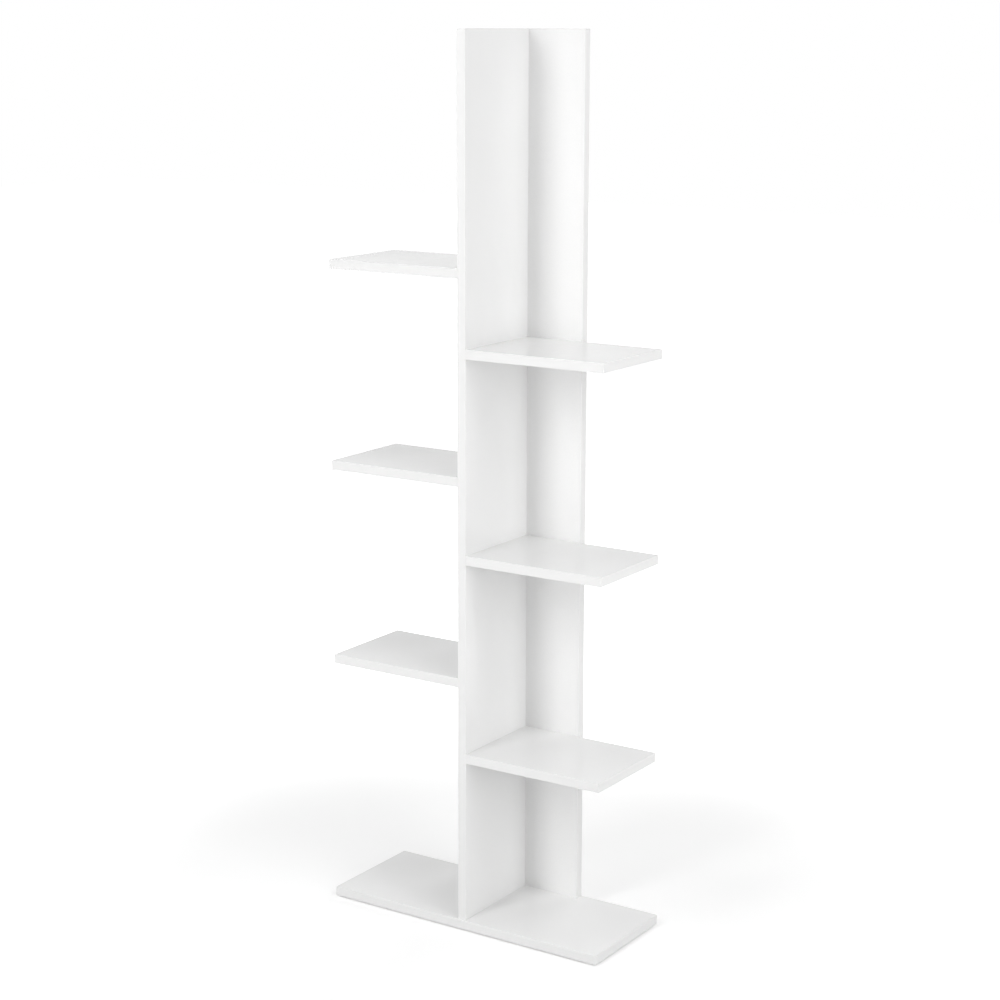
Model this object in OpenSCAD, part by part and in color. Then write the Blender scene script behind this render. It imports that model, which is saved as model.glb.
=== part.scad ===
// Tree bookshelf. Two tall boards stand on a base board as a T-shaped trunk, and six shelves
// branch off it by turns to the right and to the left. Cam locks under the shelves pull them
// against the upright, and screws through the back board hold them from behind.
// X runs to the right, Y to the back and Z up. The origin is on the floor, under the middle
// of the base board. Sizes are in millimetres.

/* [Boards] */
// Width of the base board, end to end
base_w = 600; // [540:10:720]
// Depth of the base board, front to back
base_d = 230; // [215:5:290]
// Thickness of every board
board_t = 18; // [16:1:22]
// Height of the two trunk boards above the base board
trunk_h = 1669; // [1520:1:1790]
// Width of the back board
back_w = 260; // [220:10:320]
// How far the upright and the shelves sit behind the front edge of the base
front_setback = 4; // [0:1:12]

/* [Shelves] */
// Rise from the top of the base board to the top of the lowest right shelf
first_shelf_rise = 332; // [280:1:360]
// Height between shelves on the same side
shelf_pitch = 384; // [340:2:410]
// How much higher each left shelf is than the right shelf of its level
left_rise = 146; // [100:1:200]
// How far the outer ends of the shelves stop short of the ends of the base
shelf_end_inset = 0; // [0:2:40]

/* [Edge banding] */
// Thickness of the plastic strip glued on every edge that shows
strip_t = 1; // [0.6:0.1:2]
// Radius of the strip's trimmed arrises
strip_r = 0.8; // [0.2:0.1:1]
// Width of the hairline joint where two strips meet at a corner
strip_joint = 0.1; // [0.05:0.05:0.2]

/* [Cam fittings] */
// Diameter of the cam lock
cam_d = 15; // [14:0.5:17]
// Distance from the inner end of a shelf to the axis of its cam locks
cam_reach = 34; // [30:1:38]
// Distance of the cam locks from the front and back edges of a shelf
cam_edge = 50; // [46:1:54]
// Thickest part of the spiral wall that draws the bolt in
cam_wall = 2.2; // [1.8:0.1:2.6]
// Diameter of the cam bolt's shank
cam_bolt_d = 6; // [5:0.5:6.5]
// Diameter of the hole that the cam bolt runs through in the end of a shelf
cam_bolt_hole_d = 8; // [7.8:0.1:9]
// Depth that the cam bolt is screwed into the upright
cam_bolt_seat = 11; // [9:0.5:12]

/* [Dowels] */
// Diameter of the wooden dowels
dowel_d = 8; // [6:0.5:9]
// Length of the wooden dowels
dowel_l = 30; // [26:1:34]
// Depth of a dowel in the board whose face it enters
dowel_face_depth = 10; // [8:0.5:11]
// Spacing between a dowel and the screw or cam lock beside it
dowel_step = 32; // [26:1:34]
// Number of grooves along a dowel that let the glue spread
dowel_grooves = 12; // [8:1:16]

/* [Screws] */
// Length of the connecting screws
screw_l = 50; // [44:1:54]
// Diameter of the screw's plain neck
screw_neck_d = 7; // [6.5:0.1:7.5]
// Core diameter of the screw's threaded part
screw_core_d = 5; // [4.5:0.1:5.5]
// Diameter of the countersunk head
screw_head_d = 10; // [9:0.5:11]
// Width across the flats of the hex socket
screw_hex = 4; // [3:0.5:5]
// Distance of the trunk's end screws from the ends of the trunk
trunk_screw_edge = 60; // [56:1:90]
// Distance of the screws in a shelf's back edge from the ends of their joint
shelf_screw_edge = 30; // [22:1:36]
// Distance of the screws under the back board from its side edges
foot_screw_edge = 40; // [30:1:50]

/* [Wall anchor holes] */
// Diameter of the two pilot holes for an anti-tip strap
anchor_d = 3; // [2:0.5:4]
// Depth of the anti-tip pilot holes
anchor_depth = 12; // [8:1:13]
// Distance between the anti-tip pilot holes
anchor_spacing = 160; // [100:10:180]
// Distance of the anti-tip pilot holes from the top
anchor_drop = 45; // [30:1:90]

/* [Floor glides] */
// Height of the glides under the base
glide_h = 3; // [2:0.5:5]
// Diameter of the glides
glide_d = 18; // [14:1:20]
// Distance of the glides' centres from the edges of the base
glide_edge = 30; // [22:1:36]
// Diameter of the nail's shank
nail_d = 2; // [1.6:0.1:2.4]
// Length of the nail in the base board
nail_depth = 10; // [7:1:12]

/* [Fits] */
// Radial play of a screw, bolt, dowel, cam lock or nail in its hole
play = 0.1; // [0.05:0.05:0.2]
// Free depth at the bottom of a blind hole
end_play = 1; // [0.5:0.1:1.5]

/* [Hidden] */
$fn = 48;
eps = 0.01;                                  // overshoot of a cut past the face it opens

// Levels and planes
base_top = glide_h + board_t;
trunk_top = base_top + trunk_h;
front_y = front_setback - base_d / 2;        // front edge of the upright and the shelves
back_y = base_d / 2;                         // rear face of the back board
joint_y = back_y - board_t;                  // where upright and shelves meet the back board
shelf_d = joint_y - front_y;                 // depth of the shelves and of the upright
shelf_l = base_w / 2 - board_t / 2 - shelf_end_inset;
back_wing = (back_w - board_t) / 2;          // back board beside the upright
arris_r = min(strip_r, 0.9 * strip_t);       // stays within the strip

// Outer sizes of the boards as they lie flat, strips included
base_size = [base_w, base_d, board_t];
upright_size = [trunk_h, shelf_d, board_t];
back_size = [back_w, trunk_h, board_t];
shelf_size = [shelf_l, shelf_d, board_t];

// Edges that carry a strip: left end, right end, front, back, as the board lies flat
base_strips = [true, true, true, true];
upright_strips = [false, true, true, false];
back_strips = [true, true, false, true];
shelf_strips = [false, true, true, true];

// Fittings along the depth of a shelf, and of the upright's foot, from the front edge
cam_rows = [cam_edge, shelf_d - cam_edge];
dowel_rows = [cam_edge + dowel_step, shelf_d - cam_edge - dowel_step];

// Screws in a shelf's back edge, from the upright's face
shelf_screw_rows = [shelf_screw_edge, back_wing - shelf_screw_edge];

// Screws up the trunk, and a dowel half way between each two
trunk_screws = 5;
trunk_step = (trunk_h - 2 * trunk_screw_edge) / (trunk_screws - 1);
trunk_screw_rows = [for (i = [0 : trunk_screws - 1])
    base_top + trunk_screw_edge + i * trunk_step];
trunk_dowel_rows = [for (i = [0 : trunk_screws - 2]) trunk_screw_rows[i] + trunk_step / 2];

// Fittings under the back board, from its middle
foot_screw_rows = [for (side = [-1, 1]) side * (back_w / 2 - foot_screw_edge)];
foot_dowel_rows = [for (side = [-1, 1]) side * (back_w / 2 - foot_screw_edge - dowel_step)];

// Screw
screw_sink = 0.3;                            // head below the face of the board
screw_rim = 0.8;                             // straight rim of the head
screw_neck_l = 15;                           // from the top of the head to the thread
screw_tip = 3;                               // length of the tapered tip
screw_socket = 3;                            // depth of the hex socket

// Cam lock and bolt
cam_sink = 0.2;                              // slotted face below the face of the shelf
cam_head_step = 0.5;                         // ball head's radius past the shank's
cam_neck_step = 1;                           // shank's radius past the neck's
cam_head_d = cam_bolt_d + 2 * cam_head_step;
cam_neck_d = cam_bolt_d - 2 * cam_neck_step; // the cam lock closes on the neck
cam_throw = 0.5;                             // how far the hollow is off centre
cam_room = 0.4;                              // room round the bolt's head and neck
cam_skin = 0.8;                              // metal over the hollow
cam_turn = 150;                              // turn from open to locked
cam_axis_h = board_t / 2 - cam_sink;         // bolt's axis above the slotted face
cam_hollow_h = cam_head_d + 2 * cam_room;
cam_h = cam_axis_h + cam_hollow_h / 2 + cam_skin;
cam_bore_depth = cam_sink + cam_h + end_play;
cam_cross = [9, 1.3, 2.6];                   // one slot of the screwdriver cross
cam_hub_d = 3.4;                             // round middle of the cross
collar_l = 1.5;                              // collar of the bolt at the upright's face
bolt_bevel = 1;

// Dowel, glide and nail
dowel_bevel = 1;
groove_d = 1;                                // grooves are this wide and half as deep
glide_bevel = 1;
nail_head_d = 2.4 * nail_d;
nail_head_t = 0.8;
nail_head_sink = 0.5;                        // head above the foot of the glide

// Shelves are told apart by side, 1 for right and -1 for left, and by level from 0
SIDES = [1, -1];
LEVELS = [0, 1, 2];
SIDE_NAMES = ["left", "", "right"];
LEVEL_NAMES = ["lower", "middle", "upper"];
function shelf_name(side, level) = str(SIDE_NAMES[side + 1], "_shelf_", LEVEL_NAMES[level]);
function shelf_top(side, level) =
    base_top + first_shelf_rise + level * shelf_pitch + (side < 0 ? left_rise : 0);

// Colours
white_board = [0.96, 0.96, 0.955];
white_strip = [0.93, 0.93, 0.925];
beech = [0.80, 0.64, 0.42];
steel = [0.62, 0.63, 0.65];
zinc = [0.74, 0.74, 0.72];
grey_plastic = [0.55, 0.56, 0.57];

// Places

// Local axes of the upright board: X along its height, Y along its depth
module on_upright() {
    translate([board_t / 2, front_y, base_top]) rotate([0, -90, 0]) children();
}

// Local axes of the back board: X along its width, Y along its height
module on_back() {
    translate([-back_w / 2, back_y, base_top]) rotate([90, 0, 0]) children();
}

// Local axes of a shelf: origin at its inner front bottom corner, X to its outer end
module on_shelf(side, level) {
    up = shelf_top(side, level) - board_t;
    if (side > 0) translate([board_t / 2, front_y, up]) children();
    else mirror([1, 0, 0]) translate([board_t / 2, front_y, up]) children();
}

// Points where fittings cross a joint, with Z running into the board that is held
module at_shelf_end(row) {
    translate([0, row, board_t / 2]) rotate([0, 90, 0]) children();
}

module at_foot(x, y) {
    translate([x, y, base_top]) children();
}

module at_trunk(x, z) {
    translate([x, joint_y, z]) rotate([90, 0, 0]) children();
}

// Boards

module rounded_rectangle(size, r) {
    translate([r, 0]) square([size.x - 2 * r, size.y]);
    translate([0, r]) square([size.x, size.y - 2 * r]);
    for (x = [r, size.x - r], y = [r, size.y - r]) translate([x, y]) circle(r);
}

function strip_at(strips, i) = strips[i] ? strip_t : 0;

// The raw board inside its strips
module core(size, strips) {
    left = strip_at(strips, 0);
    front = strip_at(strips, 2);
    translate([left, front, 0]) cube([
        size.x - left - strip_at(strips, 1),
        size.y - front - strip_at(strips, 3),
        size.z
    ]);
}

// Strips round the board. Those along X cover the ends of those across.
module edging(size, strips) {
    if (strips[0]) strip_across(size, strips);
    if (strips[1]) translate([size.x, 0, 0]) mirror([1, 0, 0]) strip_across(size, strips);
    if (strips[2]) strip_along(size, strips);
    if (strips[3]) translate([0, size.y, 0]) mirror([0, 1, 0]) strip_along(size, strips);
}

// Strip on the left end, with its outer arrises rounded
module strip_across(size, strips) {
    front = strips[2] ? strip_t + strip_joint : 0;
    back = size.y - (strips[3] ? strip_t + strip_joint : 0);
    translate([0, back, 0]) rotate([90, 0, 0]) linear_extrude(back - front) intersection() {
        rounded_rectangle([size.x, size.z], arris_r);
        square([strip_t, size.z]);
    }
}

// Strip on the front edge, with its outer arrises and its outer corners rounded
module strip_along(size, strips) {
    // A raw end is cut square, so its rounding is drawn past the end
    over_left = strips[0] ? 0 : strip_t;
    over_right = strips[1] ? 0 : strip_t;
    intersection() {
        rotate([90, 0, 90]) linear_extrude(size.x)
            rounded_rectangle([size.y, size.z], arris_r);
        linear_extrude(size.z) translate([-over_left, 0])
            rounded_rectangle([size.x + over_left + over_right, size.y], arris_r);
        cube([size.x, strip_t, size.z]);
    }
}

module base_core() {
    color(white_board) difference() {
        translate([-base_w / 2, -base_d / 2, glide_h]) core(base_size, base_strips);
        foot_screws_at() screw_hole();
        foot_dowels_at() dowel_hole();
        glides_at() nail_hole();
    }
}

module upright_core() {
    color(white_board) difference() {
        on_upright() core(upright_size, upright_strips);
        foot_screws_at() screw_hole();
        foot_dowels_at() dowel_hole();
        trunk_screws_at() screw_hole();
        trunk_dowels_at() dowel_hole();
        for (side = SIDES) cam_bolts_at(side) cam_bolt_hole();
        for (side = SIDES) shelf_dowels_at(side) dowel_hole();
    }
}

module back_core() {
    color(white_board) difference() {
        on_back() core(back_size, back_strips);
        foot_screws_at() screw_hole();
        foot_dowels_at() dowel_hole();
        trunk_screws_at() screw_hole();
        trunk_dowels_at() dowel_hole();
        for (side = SIDES) shelf_screws_at(side) screw_hole();
        anchors_at() anchor_hole();
    }
}

module shelf_core(side, level) {
    color(white_board) difference() {
        on_shelf(side, level) core(shelf_size, shelf_strips);
        shelf_screws_at(side, [level]) screw_hole();
        cam_bolts_at(side, [level]) cam_bolt_hole();
        shelf_dowels_at(side, [level]) dowel_hole();
        cam_bolts_at(side, [level]) cam_lock_place() cam_bore();
    }
}

module base_edging() {
    color(white_strip) translate([-base_w / 2, -base_d / 2, glide_h])
        edging(base_size, base_strips);
}

module upright_edging() {
    color(white_strip) on_upright() edging(upright_size, upright_strips);
}

module back_edging() {
    color(white_strip) on_back() edging(back_size, back_strips);
}

module shelf_edging(side, level) {
    color(white_strip) difference() {
        on_shelf(side, level) edging(shelf_size, shelf_strips);
        shelf_screws_at(side, [level]) screw_hole();
    }
}

// Rows of fittings

// Under the upright and the back board. The back board's row is along its middle.
module foot_screws_at() {
    for (row = cam_rows) at_foot(0, front_y + row) children();
    for (x = foot_screw_rows) at_foot(x, back_y - board_t / 2) children();
}

module foot_dowels_at() {
    for (row = dowel_rows) at_foot(0, front_y + row) children();
    for (x = foot_dowel_rows) at_foot(x, back_y - board_t / 2) children();
}

module trunk_screws_at() {
    for (z = trunk_screw_rows) at_trunk(0, z) children();
}

module trunk_dowels_at() {
    for (z = trunk_dowel_rows) at_trunk(0, z) children();
}

module shelf_screws_at(side, levels = LEVELS) {
    for (level = levels, row = shelf_screw_rows)
        at_trunk(side * (board_t / 2 + row), shelf_top(side, level) - board_t / 2) children();
}

module cam_bolts_at(side, levels = LEVELS) {
    for (level = levels, row = cam_rows) on_shelf(side, level) at_shelf_end(row) children();
}

module shelf_dowels_at(side, levels = LEVELS) {
    for (level = levels, row = dowel_rows) on_shelf(side, level) at_shelf_end(row) children();
}

module glides_at() {
    for (x = [glide_edge - base_w / 2, 0, base_w / 2 - glide_edge])
        for (y = [glide_edge - base_d / 2, base_d / 2 - glide_edge])
            translate([x, y, 0]) children();
}

module anchors_at() {
    for (side = SIDES)
        translate([side * anchor_spacing / 2, back_y, trunk_top - anchor_drop])
            rotate([90, 0, 0]) children();
}

// Screw: Z runs from the head to the tip, and the joint that it closes is at Z = 0

module screw() {
    head_z = screw_sink - board_t;
    neck_z = head_z + screw_rim + (screw_head_d - screw_neck_d) / 2;
    thread_z = head_z + screw_neck_l;
    tip_z = head_z + screw_l;
    difference() {
        rotate_extrude() polygon([
            [0, head_z],
            [screw_head_d / 2, head_z],
            [screw_head_d / 2, head_z + screw_rim],
            [screw_neck_d / 2, neck_z],
            [screw_neck_d / 2, thread_z],
            [screw_core_d / 2, thread_z + (screw_neck_d - screw_core_d) / 2],
            [screw_core_d / 2, tip_z - screw_tip],
            [screw_core_d / 4, tip_z],
            [0, tip_z]
        ]);
        translate([0, 0, head_z - eps])
            cylinder(d = screw_hex / cos(30), h = screw_socket + eps, $fn = 6);
    }
}

// Countersunk clearance hole in the outer board, core hole in the board that is held
module screw_hole() {
    rim_z = screw_sink + screw_rim - board_t;
    rotate_extrude() polygon([
        [0, -board_t - eps],
        [screw_head_d / 2 + play, -board_t - eps],
        [screw_head_d / 2 + play, rim_z],
        [screw_neck_d / 2 + play, rim_z + (screw_head_d - screw_neck_d) / 2],
        [screw_neck_d / 2 + play, 0],
        [screw_core_d / 2 + play, 0],
        [screw_core_d / 2 + play, screw_sink - board_t + screw_l + end_play],
        [0, screw_sink - board_t + screw_l + end_play]
    ]);
}

// Dowel: the joint is at Z = 0, and the short part is below it, in the face of a board

module dowel() {
    r = dowel_d / 2;
    top = dowel_l - dowel_face_depth;
    intersection() {
        translate([0, 0, -dowel_face_depth]) linear_extrude(dowel_l) difference() {
            circle(r);
            for (i = [0 : dowel_grooves - 1]) rotate(i * 360 / dowel_grooves)
                translate([r, 0]) circle(d = groove_d);
        }
        rotate_extrude() polygon([
            [0, -dowel_face_depth],
            [r - dowel_bevel, -dowel_face_depth],
            [r + eps, dowel_bevel - dowel_face_depth + eps],
            [r + eps, top - dowel_bevel - eps],
            [r - dowel_bevel, top],
            [0, top]
        ]);
    }
}

module dowel_hole() {
    translate([0, 0, -dowel_face_depth - end_play])
        cylinder(d = dowel_d + 2 * play, h = dowel_l + 2 * end_play);
}

// Cam fitting: the bolt's joint with the upright is at Z = 0, and Z runs into the shelf

module cam_bolt() {
    r = cam_bolt_d / 2;
    core_r = screw_core_d / 2;
    collar_r = cam_bolt_hole_d / 2 - 2 * play;
    ball_z = cam_reach - (cam_d / 2 - cam_wall) + play + cam_head_d / 2;
    neck_z = cam_reach - cam_d / 2 - cam_room;
    rotate_extrude() polygon([
        [0, -cam_bolt_seat],
        [core_r - bolt_bevel, -cam_bolt_seat],
        [core_r, bolt_bevel - cam_bolt_seat],
        [core_r, 0],
        [collar_r, 0],
        [collar_r, collar_l],
        [r, collar_l],
        [r, neck_z - cam_neck_step],
        [cam_neck_d / 2, neck_z],
        [cam_neck_d / 2, ball_z],
        [0, ball_z]
    ]);
    translate([0, 0, ball_z]) sphere(d = cam_head_d);
}

module cam_bolt_hole() {
    depth = cam_bolt_seat + end_play;
    translate([0, 0, -depth]) cylinder(d = screw_core_d + 2 * play, h = depth + eps);
    cylinder(d = cam_bolt_hole_d, h = cam_reach);
}

// From the bolt's joint to the cam lock's own axes: Z up, with the slotted face at Z = 0
module cam_lock_place() {
    translate([cam_axis_h, 0, cam_reach]) rotate([0, -90, 0]) children();
}

// Locked: the neck comes in along -X, and the way in for the head has turned past it
module cam_lock() {
    grip = cam_d / 2 - cam_wall;             // from the axis to the wall behind the neck
    slot_w = cam_neck_d + 2 * cam_room;
    way_in_d = cam_head_d + cam_room;
    difference() {
        cylinder(d = cam_d, h = cam_h);
        translate([cam_throw, 0, cam_axis_h - cam_hollow_h / 2])
            cylinder(r = grip + cam_throw, h = cam_hollow_h);
        translate([0, 0, cam_axis_h]) {
            rotate([0, -90, 0]) cylinder(d = slot_w, h = cam_d);
            rotate([0, 0, 180]) rotate_extrude(angle = cam_turn)
                translate([grip - 1, -slot_w / 2]) square([cam_d, slot_w]);
            rotate([0, -90, cam_turn]) cylinder(d = way_in_d, h = cam_d);
        }
        for (turn = [0, 90]) rotate([0, 0, turn + 45])
            translate([-cam_cross.x / 2, -cam_cross.y / 2, -eps])
                cube([cam_cross.x, cam_cross.y, cam_cross.z + eps]);
        translate([0, 0, -eps]) cylinder(d = cam_hub_d, h = cam_cross.z + eps);
    }
}

// Bore for the cam lock, open at the underside of the shelf
module cam_bore() {
    translate([0, 0, -cam_sink - eps])
        cylinder(d = cam_d + 2 * play, h = cam_bore_depth + eps);
}

// Glide and nail: Z = 0 is the floor

module glide() {
    difference() {
        rotate_extrude() polygon([
            [0, 0],
            [glide_d / 2 - glide_bevel, 0],
            [glide_d / 2, glide_bevel],
            [glide_d / 2, glide_h],
            [0, glide_h]
        ]);
        nail_hole();
    }
}

module nail() {
    translate([0, 0, nail_head_sink]) cylinder(d = nail_head_d, h = nail_head_t);
    translate([0, 0, nail_head_sink]) cylinder(d = nail_d, h = nail_shank(0) - nail_d);
    translate([0, 0, nail_head_sink + nail_shank(0) - nail_d])
        cylinder(d1 = nail_d, d2 = nail_d / 4, h = nail_d);
}

module nail_hole() {
    translate([0, 0, -eps])
        cylinder(d = nail_head_d + 2 * play, h = nail_head_sink + nail_head_t + eps);
    translate([0, 0, -eps]) cylinder(d = nail_d + 2 * play, h = nail_shank(end_play) + eps);
}

// From the nail's head to its tip, or to the bottom of its hole
function nail_shank(extra) = glide_h + nail_depth - nail_head_sink + extra;

module anchor_hole() {
    translate([0, 0, -eps]) cylinder(d = anchor_d, h = anchor_depth + eps);
}

// Groups of fittings

module base_screws() {
    color(steel) foot_screws_at() screw();
}

module trunk_screws() {
    color(steel) trunk_screws_at() screw();
}

module shelf_screws(side) {
    color(steel) shelf_screws_at(side) screw();
}

module base_dowels() {
    color(beech) foot_dowels_at() dowel();
}

module trunk_dowels() {
    color(beech) trunk_dowels_at() dowel();
}

module shelf_dowels(side) {
    color(beech) shelf_dowels_at(side) dowel();
}

module cam_bolts(side) {
    color(steel) cam_bolts_at(side) cam_bolt();
}

module cam_locks(side) {
    color(zinc) cam_bolts_at(side) cam_lock_place() cam_lock();
}

module floor_glides() {
    color(grey_plastic) glides_at() glide();
}

module glide_nails() {
    color(steel) glides_at() nail();
}

base_core();  // base_board
upright_core();  // upright_board
back_core();  // back_board
base_edging();
upright_edging();
back_edging();
for (level = LEVELS, side = SIDES) {
    name = shelf_name(side, level);
    shelf_core(side, level);
    shelf_edging(side, level);
}
base_screws();
trunk_screws();
shelf_screws(1);  // right_shelf_screws
shelf_screws(-1);  // left_shelf_screws
base_dowels();
trunk_dowels();
shelf_dowels(1);  // right_shelf_dowels
shelf_dowels(-1);  // left_shelf_dowels
cam_bolts(1);  // right_cam_bolts
cam_bolts(-1);  // left_cam_bolts
cam_locks(1);  // right_cam_locks
cam_locks(-1);  // left_cam_locks
floor_glides();
glide_nails();
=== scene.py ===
# %% [markdown]
# # A white tree bookshelf in a photo studio
#
# The bookshelf comes from the CAD model: nine boards of white-faced chipboard, a plastic strip
# on each edge that shows, and the fittings that hold the boards together. This lesson dresses
# those solids in their finishes, sets a camera where the photograph was taken from, and lights
# the scene with soft boxes. Lengths are in metres: X runs to the right, Y to the back and Z up.

# %% Load the model
from math import cos, radians, sin

import bpy
from mathutils import Matrix, Vector


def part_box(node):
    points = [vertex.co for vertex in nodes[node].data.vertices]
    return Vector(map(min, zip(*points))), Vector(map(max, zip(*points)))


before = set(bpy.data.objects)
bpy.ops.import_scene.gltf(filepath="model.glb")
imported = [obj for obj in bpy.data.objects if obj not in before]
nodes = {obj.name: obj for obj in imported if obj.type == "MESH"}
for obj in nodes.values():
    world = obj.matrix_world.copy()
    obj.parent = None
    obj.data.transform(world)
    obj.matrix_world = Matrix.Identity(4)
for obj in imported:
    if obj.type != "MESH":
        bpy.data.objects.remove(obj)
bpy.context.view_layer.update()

MM = 0.001

# %% [markdown]
# ## The camera
#
# The photograph was taken from the right of the bookshelf, with the lens as high as its top,
# which is why the top ends of the tall boards show as one straight line. The boards' corners in
# the photograph fix the rest: the camera's place, its turn and the length of its lens. The tall
# boards stay nearly parallel in the picture. A lens shifted far down would do that exactly, but
# every other view of the model keeps the shift and would lose the top of the bookshelf. A
# longer lens from further away comes close with hardly any shift, so that is used here.

# %% Place the camera
CAMERA_PLACE = Vector((2.209, -3.335, 1.696))
CAMERA_TURN = radians(33.38)       # to the left of straight ahead
CAMERA_TILT = radians(11.80)       # below level
CAMERA_ROLL = radians(0.12)
UP_TO_LEVEL = radians(90)          # a camera that isn't turned looks straight down
LENS_MM = 78.4
SENSOR_MM = 36
LENS_SHIFT = -0.02                 # share of the picture's width

camera_data = bpy.data.cameras.new("studio_camera")
camera_data.sensor_width = SENSOR_MM
camera_data.lens = LENS_MM
camera_data.shift_y = LENS_SHIFT
camera = bpy.data.objects.new("studio_camera", camera_data)
bpy.context.scene.collection.objects.link(camera)
camera.matrix_world = (
    Matrix.Translation(CAMERA_PLACE)
    @ Matrix.Rotation(CAMERA_TURN, 4, "Z")
    @ Matrix.Rotation(UP_TO_LEVEL - CAMERA_TILT, 4, "X")
    @ Matrix.Rotation(CAMERA_ROLL, 4, "Z")
)
bpy.context.scene.camera = camera
print("camera stands", round(CAMERA_PLACE.xy.length, 2), "m away")

# %% [markdown]
# ## Shader maths as Python
#
# A finish is a small network of nodes, and drawing one by hand in code takes many lines. The
# class below wraps one socket. Plus, minus and times on two of them, or on one and a number in
# either order, add the Math node and give back its result. Every node comes from `add`, which
# takes the node's kind, then its settings, then what goes into its sockets.

# %% A wrapped socket
class Wire:
    """One output socket of a node tree, or the bare tree to start from."""

    def __init__(self, tree, socket=None):
        self.tree = tree
        self.socket = socket

    def add(self, kind, settings=None, inputs=None, out=0):
        """A new node of any kind. Out says which of its outputs comes back."""
        node = self.tree.nodes.new(kind)
        for name, value in (settings or {}).items():
            setattr(node, name, value)
        for key, value in (inputs or {}).items():
            if isinstance(value, Wire):
                self.tree.links.new(value.socket, node.inputs[key])
            else:
                node.inputs[key].default_value = value
        return Wire(self.tree, node.outputs[out] if node.outputs else None)

    def twin(self, out):
        """Another output of the same node."""
        return Wire(self.tree, self.socket.node.outputs[out])

    def math(self, operation, *values):
        return self.add("ShaderNodeMath", {"operation": operation}, dict(enumerate(values)))

    def __add__(self, other):
        return self.math("ADD", self, other)

    def __radd__(self, other):
        return self.math("ADD", other, self)

    def __sub__(self, other):
        return self.math("SUBTRACT", self, other)

    def __rsub__(self, other):
        return self.math("SUBTRACT", other, self)

    def __mul__(self, other):
        return self.math("MULTIPLY", self, other)

    def __rmul__(self, other):
        return self.math("MULTIPLY", other, self)

    def above(self, limit):
        """1 where the value is over the limit, 0 elsewhere."""
        return self.math("GREATER_THAN", self, limit)

    def ease(self, low, high, to_low=0.0, to_high=1.0):
        """A soft step from one result to another as the value goes from low to high."""
        return self.add("ShaderNodeMapRange", {"interpolation_type": "SMOOTHSTEP"}, {
            "Value": self, "From Min": low, "From Max": high,
            "To Min": to_low, "To Max": to_high,
        })


print("a wire can add, subtract and multiply")

# %% [markdown]
# ## Nodes that every finish uses
#
# A finish starts as an empty tree and ends in one surface shader. In between, noise gives its
# clouds and grain, a stretch turns round specks into long ones, a blend mixes two colours by a
# pattern, and a relief turns a pattern into bumps. Each is one short function, so the finishes
# below read as a list of what the real surface has.

# %% Shader helpers
MIX_AMOUNT, MIX_FIRST, MIX_SECOND, MIX_COLOUR = 0, 6, 7, 2     # a Mix node's colour sockets


def new_finish(name):
    """A material with an empty node tree."""
    material = bpy.data.materials.new(name)
    material.use_nodes = True
    material.node_tree.nodes.clear()
    return material, Wire(material.node_tree)


def surface(wire, constants, **varying):
    """Ends the tree: constants go on the shader's own sockets, what varies is linked."""
    inputs = dict(constants)
    inputs.update({name.replace("_", " "): value for name, value in varying.items()})
    shader = wire.add("ShaderNodeBsdfPrincipled", None, inputs)
    wire.add("ShaderNodeOutputMaterial", None, {"Surface": shader})


def blend(wire, amount, first, second):
    """Mixes two colours, each a wire or four numbers."""
    return wire.add("ShaderNodeMix", {"data_type": "RGBA"},
                    {MIX_AMOUNT: amount, MIX_FIRST: first, MIX_SECOND: second}, MIX_COLOUR)


def noise(wire, vector, scale, detail=2.0, roughness=0.5):
    """Cloudy noise from 0 to 1. The scale is how many clouds come to a metre."""
    return wire.add("ShaderNodeTexNoise", None, {
        "Vector": vector, "Scale": scale, "Detail": detail, "Roughness": roughness,
    })


def stretched(wire, vector, scale):
    """Coordinates scaled on each axis, which stretches a pattern along the small ones."""
    return wire.add("ShaderNodeVectorMath", {"operation": "MULTIPLY"}, {0: vector, 1: scale})


def relief(wire, height, depth, normal=None):
    """A bump of that depth in metres."""
    inputs = {"Height": height, "Distance": depth, "Strength": 1.0}
    if normal is not None:
        inputs["Normal"] = normal
    return wire.add("ShaderNodeBump", None, inputs)


print("shader helpers ready")

# %% [markdown]
# ## White melamine on chipboard
#
# The boards are chipboard pressed between two sheets of paper soaked in white melamine resin.
# The press plate leaves a fine pearl texture of shallow pits about a millimetre apart, and the
# resin cures to a gloss that mirrors what stands near it, a little blurred. Only the two broad
# faces are white: an edge without a strip, and the inside of a bore, show the pressed chips.
#
# Three ways to get this were open. A bought texture would have to be an image. Splitting the
# mesh into white and raw faces would change the CAD solid. So the material finds the broad faces
# by itself: it asks how far a point lies from the board's middle plane. The same measurement
# along the other two axes finds the hairline of glue beside each strip.

# %% Melamine finish
SKIN = 0.05 * MM                   # how deep the white sheet reaches
GLUE_LINE = 0.16 * MM
GLUE_CORE = 0.4 * GLUE_LINE        # full glue colour up to here
WHITE = (0.885, 0.885, 0.883, 1)
WHITE_SHADE = (0.840, 0.840, 0.838, 1)
GLUE = (0.60, 0.585, 0.56, 1)
CHIP_LIGHT = (0.50, 0.33, 0.18, 1)
CHIP_DARK = (0.22, 0.13, 0.065, 1)
CLOUDS, PITS, CHIPS, GRIT = 9.0, 900.0, 420.0, 1600.0          # how many to a metre
PRESS_WAVES, POLISH_PATCHES = 14.0, 60.0
CLOUD_SHARE, PIT_SHADE_SHARE = 0.5, 0.5  # of the step from the white to its shade; the pits' share is painted shade in the pits
CHIP_SHARE, GRIT_SHARE = 0.7, 0.5
PIT_EDGES = (0.35, 0.65)           # noise seldom leaves this range, so it is spread out
LEAST_ROUGH, POLISH_ROUGH, PIT_ROUGH, RAW_ROUGH = 0.10, 0.05, 0.05, 0.6
WAVE_DEPTH, PIT_DEPTH = 0.05 * MM, 0.012 * MM
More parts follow.
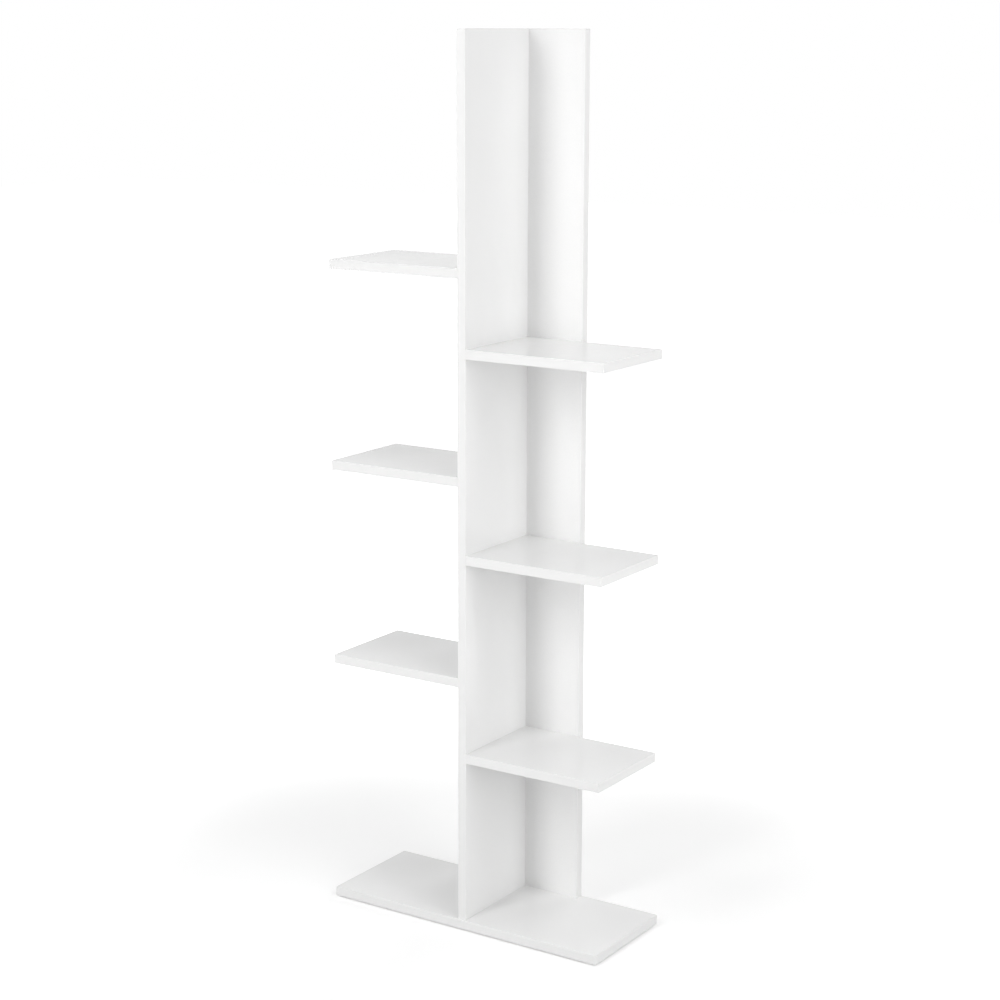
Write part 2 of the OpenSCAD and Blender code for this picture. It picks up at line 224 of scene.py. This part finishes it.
CHIP_RELIEF = 12.0                 # raw chips stand this many pit depths proud
RESIN_IOR = 1.5


def board_finish(name, thickness_axis, banded):
    """Melamine for one board. Banded lists (axis, end) of its edges with a strip."""
    low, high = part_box(name)
    material, wire = new_finish(name + "_melamine")
    place = wire.add("ShaderNodeTexCoord", out="Object")
    along = wire.add("ShaderNodeSeparateXYZ", None, {0: place})
    axes = [along, along.twin(1), along.twin(2)]

    middle = (low[thickness_axis] + high[thickness_axis]) / 2
    half = (high[thickness_axis] - low[thickness_axis]) / 2
    from_middle = wire.math("ABSOLUTE", axes[thickness_axis] - middle)
    white_face = from_middle.above(half - SKIN)

    gap = None
    for axis, end in banded:
        distance = axes[axis] - low[axis] if end < 0 else high[axis] - axes[axis]
        gap = distance if gap is None else wire.math("MINIMUM", gap, distance)
    glue = gap.ease(GLUE_CORE, GLUE_LINE, to_low=1.0, to_high=0.0)

    cloud = noise(wire, place, CLOUDS)
    pearl = noise(wire, place, PITS, detail=1.0, roughness=0.4)
    # The pit pattern also darkens the colour where the pits are: that is painted shade, standing
    # in for the shade that falls in them. The clouds are the sheet's own uneven tone.
    mottle = CLOUD_SHARE * cloud + PIT_SHADE_SHARE * pearl.ease(*PIT_EDGES)
    white = blend(wire, mottle, WHITE_SHADE, WHITE)
    chips = wire.add("ShaderNodeTexVoronoi", None, {"Vector": place, "Scale": CHIPS})
    grit = noise(wire, place, GRIT, detail=1.0)
    raw = blend(wire, chips * CHIP_SHARE + grit * GRIT_SHARE, CHIP_DARK, CHIP_LIGHT)
    colour = blend(wire, white_face, raw, blend(wire, glue, white, GLUE))

    press = noise(wire, place, PRESS_WAVES, detail=1.0)
    polish = noise(wire, place, POLISH_PATCHES)
    rough = LEAST_ROUGH + POLISH_ROUGH * polish + PIT_ROUGH * pearl
    rough = rough + (1 - white_face) * RAW_ROUGH
    wavy = relief(wire, press, WAVE_DEPTH)
    pitted = relief(wire, pearl + (1 - white_face) * chips * CHIP_RELIEF, PIT_DEPTH, wavy)
    surface(wire, {"IOR": RESIN_IOR}, Base_Color=colour, Roughness=rough, Normal=pitted)
    return material


print("melamine: pits", round(1 / PITS / MM, 1), "mm apart, skin", SKIN / MM, "mm")

# %% [markdown]
# ## Dress the boards
#
# Each board needs to know which way it is thin and which of its edges carry a strip. The base
# has strips all round. The upright has one in front and one on top, because its back edge meets
# the back board. A shelf has none where it meets the upright. A CAD object keeps its mesh, so
# the new material simply takes the place of the plain one in its slots.

# %% Paint the boards
X, Y, Z = 0, 1, 2
LEFT, RIGHT, FRONT, BACK, TOP = (X, -1), (X, 1), (Y, -1), (Y, 1), (Z, 1)
SHELVES = [f"{side}_shelf_{level}" for side in ("left", "right")
           for level in ("lower", "middle", "upper")]
BOARDS = {
    "base_board": (Z, [LEFT, RIGHT, FRONT, BACK]),
    "upright_board": (X, [FRONT, TOP]),
    "back_board": (Y, [LEFT, RIGHT, TOP]),
}
for shelf in SHELVES:
    outer = LEFT if shelf.startswith("left") else RIGHT
    BOARDS[shelf] = (Z, [outer, FRONT, BACK])


def paint(name, material):
    """Puts a material in the slots of a CAD node, in place of its plain one."""
    for slot in nodes[name].material_slots:
        slot.material = material


for name, (thickness_axis, banded) in BOARDS.items():
    paint(name, board_finish(name, thickness_axis, banded))
print(len(BOARDS), "boards in melamine")

# %% [markdown]
# ## Edge strips
#
# A banding machine glues a millimetre of white plastic on each edge that shows, then trims it
# flush and rounds its arrises with a cutter. The plastic is duller than the melamine, and
# drawing it through the rollers leaves faint lines along its length. One pattern fits the strips
# on every edge of a board: it changes fast across the board's thickness and slowly along the
# other two axes.

# %% Strip finish
STRIP_WHITE = (0.862, 0.862, 0.858, 1)
STRIP_SHADE = (0.842, 0.842, 0.839, 1)
LINES_ACROSS, LINES_ALONG = 1000.0, 9.0                        # how many to a metre
STRIP_CLOUDS = 25.0
LINE_SHARE, STRIP_CLOUD_SHARE = 0.6, 0.4
STRIP_ROUGH, LINE_ROUGH, STRIP_CLOUD_ROUGH = 0.30, 0.10, 0.05
LINE_DEPTH = 0.004 * MM
PLASTIC_IOR = 1.5


def strip_finish(name, thickness_axis):
    """White plastic with lengthwise lines."""
    material, wire = new_finish(name + "_plastic")
    place = wire.add("ShaderNodeTexCoord", out="Object")
    scale = [LINES_ACROSS if axis == thickness_axis else LINES_ALONG for axis in (X, Y, Z)]
    lines = noise(wire, stretched(wire, place, scale), 1.0)
    cloud = noise(wire, place, STRIP_CLOUDS)
    mottle = LINE_SHARE * lines + STRIP_CLOUD_SHARE * cloud
    colour = blend(wire, mottle, STRIP_SHADE, STRIP_WHITE)
    rough = STRIP_ROUGH + LINE_ROUGH * lines + STRIP_CLOUD_ROUGH * cloud
    surface(wire, {"IOR": PLASTIC_IOR}, Base_Color=colour, Roughness=rough,
            Normal=relief(wire, lines, LINE_DEPTH))
    return material


def edging_of(board):
    """The node that holds a board's strips."""
    return board.removesuffix("_board") + "_edging"


for board, (thickness_axis, banded) in BOARDS.items():
    paint(edging_of(board), strip_finish(edging_of(board), thickness_axis))
print(len(BOARDS), "sets of strips")

# %% [markdown]
# ## Screws and cam fittings
#
# Only a few fittings show, and only from behind or below: the heads of the screws, the faces of
# the cam locks and the glides. The screws are zinc-plated steel, bright and slightly uneven. The
# cam locks are die-cast zinc, duller and with a deeper grain. One function makes both metals:
# the shade and the polish change together from patch to patch, over a fine grain.

# %% Metal finish
METAL_PATCHES = 160.0
PATCH_ROUGH = 0.14                 # how much rougher the lightest patches are
STEEL_NODES = ["base_screws", "trunk_screws", "right_shelf_screws", "left_shelf_screws",
               "right_cam_bolts", "left_cam_bolts", "glide_nails"]
ZINC_NODES = ["right_cam_locks", "left_cam_locks"]


def metal_finish(name, light, dark, rough, grain_scale, grain_depth):
    """Metal whose shade and polish change a little from place to place."""
    material, wire = new_finish(name)
    place = wire.add("ShaderNodeTexCoord", out="Object")
    patch = noise(wire, place, METAL_PATCHES, detail=3.0)
    grain = noise(wire, place, grain_scale)
    colour = blend(wire, patch, dark, light)
    surface(wire, {"Metallic": 1.0}, Base_Color=colour, Roughness=rough + PATCH_ROUGH * patch,
            Normal=relief(wire, grain, grain_depth))
    return material


steel = metal_finish("plated_steel", light=(0.50, 0.50, 0.49, 1), dark=(0.36, 0.365, 0.37, 1),
                     rough=0.24, grain_scale=900.0, grain_depth=0.008 * MM)
zinc = metal_finish("cast_zinc", light=(0.46, 0.465, 0.47, 1), dark=(0.33, 0.335, 0.34, 1),
                    rough=0.40, grain_scale=2200.0, grain_depth=0.020 * MM)
for name in STEEL_NODES:
    paint(name, steel)
for name in ZINC_NODES:
    paint(name, zinc)
print(len(STEEL_NODES), "steel nodes and", len(ZINC_NODES), "of cast zinc")

# %% [markdown]
# ## Dowels and glides
#
# The dowels are turned from beech, a pale pinkish wood with short dark flecks, and its grain
# runs along them. They are hidden once the bookshelf stands, but somebody may take it apart.
# Noise that is stretched along the dowel makes both the fibres and, four times finer, the
# flecks. The glides are moulded in grey plastic, in a mould with an even grain.

# %% Beech and plastic finishes
BEECH_LIGHT = (0.66, 0.45, 0.26, 1)
BEECH_DARK = (0.44, 0.26, 0.13, 1)
FLECK = (0.28, 0.15, 0.07, 1)
FIBRES_ACROSS, FIBRES_ALONG = 700.0, 60.0                      # how many to a metre
FLECK_FINER = 4
FLECK_EDGES = (0.62, 0.70)         # only the peaks of the noise become flecks
BEECH_ROUGH, FIBRE_ROUGH = 0.55, 0.2
FIBRE_DEPTH = 0.03 * MM
GLIDE_LIGHT = (0.26, 0.265, 0.27, 1)
GLIDE_DARK = (0.20, 0.205, 0.21, 1)
MOULD_GRAIN, MOULD_CLOUDS = 2600.0, 120.0
GLIDE_ROUGH, GRAIN_ROUGH = 0.5, 0.15
MOULD_DEPTH = 0.02 * MM
DOWELS = {"base_dowels": Z, "trunk_dowels": Y, "right_shelf_dowels": X, "left_shelf_dowels": X}


def beech_finish(name, grain_axis):
    """Beech with its grain along one axis."""
    material, wire = new_finish(name)
    place = wire.add("ShaderNodeTexCoord", out="Object")
    scale = [FIBRES_ALONG if axis == grain_axis else FIBRES_ACROSS for axis in (X, Y, Z)]
    fibre = noise(wire, stretched(wire, place, scale), 1.0, detail=4.0)
    finer = [FLECK_FINER * s for s in scale]
    fleck = noise(wire, stretched(wire, place, finer), 1.0, detail=1.0)
    wood = blend(wire, fibre, BEECH_DARK, BEECH_LIGHT)
    colour = blend(wire, fleck.ease(*FLECK_EDGES), wood, FLECK)
    surface(wire, {}, Base_Color=colour, Roughness=BEECH_ROUGH + FIBRE_ROUGH * fibre,
            Normal=relief(wire, fibre, FIBRE_DEPTH))
    return material


def glide_finish(name):
    """Grey moulded plastic with a fine grain."""
    material, wire = new_finish(name)
    place = wire.add("ShaderNodeTexCoord", out="Object")
    grain = noise(wire, place, MOULD_GRAIN)
    cloud = noise(wire, place, MOULD_CLOUDS)
    colour = blend(wire, cloud, GLIDE_DARK, GLIDE_LIGHT)
    surface(wire, {}, Base_Color=colour, Roughness=GLIDE_ROUGH + GRAIN_ROUGH * grain,
            Normal=relief(wire, grain, MOULD_DEPTH))
    return material


for name, grain_axis in DOWELS.items():
    paint(name, beech_finish(name + "_beech", grain_axis))
paint("floor_glides", glide_finish("glide_plastic"))
print(len(DOWELS), "sets of dowels and the glides painted")

# %% [markdown]
# ## Floor and surroundings
#
# A white cut-out photograph still needs something to stand on. The floor is a pale matt sheet.
# It takes the object's soft shadow as any floor does. Some light of its own is added for what
# the camera, a mirror or a glass sees, so that the open floor reads as plain white: a little
# near the bookshelf, where the shadow lies, and more further off, where the soft boxes no
# longer reach. The world is white to the same rays, and to the others it is a weak even fill.

# %% Floor and world
FLOOR_SIZE = 30.0
FLOOR_PAINT = (0.80, 0.80, 0.80, 1)
NEAR_GLOW = 0.30
FAR_GLOW = 1.0
GLOW_GROWS = (0.6, 1.8)            # from here to there, measured from the bookshelf
FILL = 0.15


def seen_directly(wire):
    """1 for rays from the camera, off a mirror or through glass."""
    path = wire.add("ShaderNodeLightPath")
    straight = path.math("MAXIMUM", path.twin("Is Camera Ray"), path.twin("Is Glossy Ray"))
    return path.math("MAXIMUM", straight, path.twin("Is Transmission Ray"))


bpy.ops.mesh.primitive_plane_add(size=FLOOR_SIZE)
floor = bpy.context.object
floor.name = "studio_floor"
floor_material, wire = new_finish("floor_paper")
paper = wire.add("ShaderNodeBsdfDiffuse", None, {"Color": FLOOR_PAINT})
place = wire.add("ShaderNodeTexCoord", out="Object")
away = wire.add("ShaderNodeVectorMath", {"operation": "LENGTH"}, {0: place}, out="Value")
strength = away.ease(*GLOW_GROWS, NEAR_GLOW, FAR_GLOW)
glow = wire.add("ShaderNodeEmission", None, {"Color": seen_directly(wire) * strength})
both = wire.add("ShaderNodeAddShader", None, {0: paper, 1: glow})
wire.add("ShaderNodeOutputMaterial", None, {"Surface": both})
floor.data.materials.append(floor_material)

world = bpy.data.worlds.new("studio_world")
bpy.context.scene.world = world
world.use_nodes = True
world.node_tree.nodes.clear()
wire = Wire(world.node_tree)
seen = seen_directly(wire)
sky = wire.add("ShaderNodeBackground", None, {"Color": seen + (1 - seen) * FILL})
wire.add("ShaderNodeOutputWorld", None, {"Surface": sky})
print("floor", FLOOR_SIZE, "m wide, fill", FILL)

# %% [markdown]
# ## Soft boxes
#
# The photograph tells where the light came from. The back board darkens from its free edge
# towards the upright, so a tall narrow light stands just left of straight ahead, with another
# one above it: the upright hides more and more of them from a point nearer the corner. Under
# each right shelf a soft shadow slants down the upright, so light comes from the right front
# too, partly from above. Weaker lights, from the left and from above, keep the left shelves and
# the upper faces from going grey. Two more, further round, show the left side and the back of the
# bookshelf, which the photograph doesn't. The one straight behind is hidden from mirror rays: the
# screw heads there mirror the white surround already, and the light's own image on top would turn
# them into white dots.
#
# The powers were found by measurement. Light adds up, so each soft box was rendered alone, and
# the powers that bring their sum closest to the brightness of the photograph were kept.

# %% Lights
AIM = Vector((0.0, 0.0, 0.85))     # the middle of the bookshelf
AWAY = 3.2                         # from there to each soft box
SOFT_BOXES = {                     # azimuth, elevation, width, height, watts
    "front_light": (-12, 6, 0.8, 2.4, 27.2),
    "front_high_light": (-14, 35, 0.9, 1.2, 23),
    "right_front_light": (60, 13, 1.4, 2.0, 28),
    "right_high_light": (75, 40, 0.9, 0.9, 14.8),
    "right_light": (95, 10, 2.4, 2.4, 22.3),
    "left_light": (-60, 26, 2.0, 2.6, 14),
    "left_back_light": (-100, 4, 2.2, 1.8, 14),
    "back_light": (178, 16, 2.4, 2.4, 46),
    "top_light": (0, 85, 1.8, 1.8, 16.5),
}
NOT_MIRRORED = "back_light"


def soft_box(name, azimuth, elevation, width, height, power):
    """An area light that looks at the middle of the bookshelf. Azimuth 0 is in front."""
    turn, rise = radians(azimuth), radians(elevation)
    out = Vector((sin(turn) * cos(rise), -cos(turn) * cos(rise), sin(rise)))
    data = bpy.data.lights.new(name, "AREA")
    data.shape = "RECTANGLE"
    data.size = width
    data.size_y = height
    data.energy = power
    light = bpy.data.objects.new(name, data)
    bpy.context.scene.collection.objects.link(light)
    light.location = AIM + out * AWAY
    light.rotation_mode = "QUATERNION"
    light.rotation_quaternion = (-out).to_track_quat("-Z", "Y")
    light.visible_camera = False
    light.visible_glossy = name != NOT_MIRRORED


for name, setting in SOFT_BOXES.items():
    soft_box(name, *setting)
bpy.context.scene.view_settings.view_transform = "Standard"
print(len(SOFT_BOXES), "soft boxes,", round(sum(s[-1] for s in SOFT_BOXES.values())), "watts")
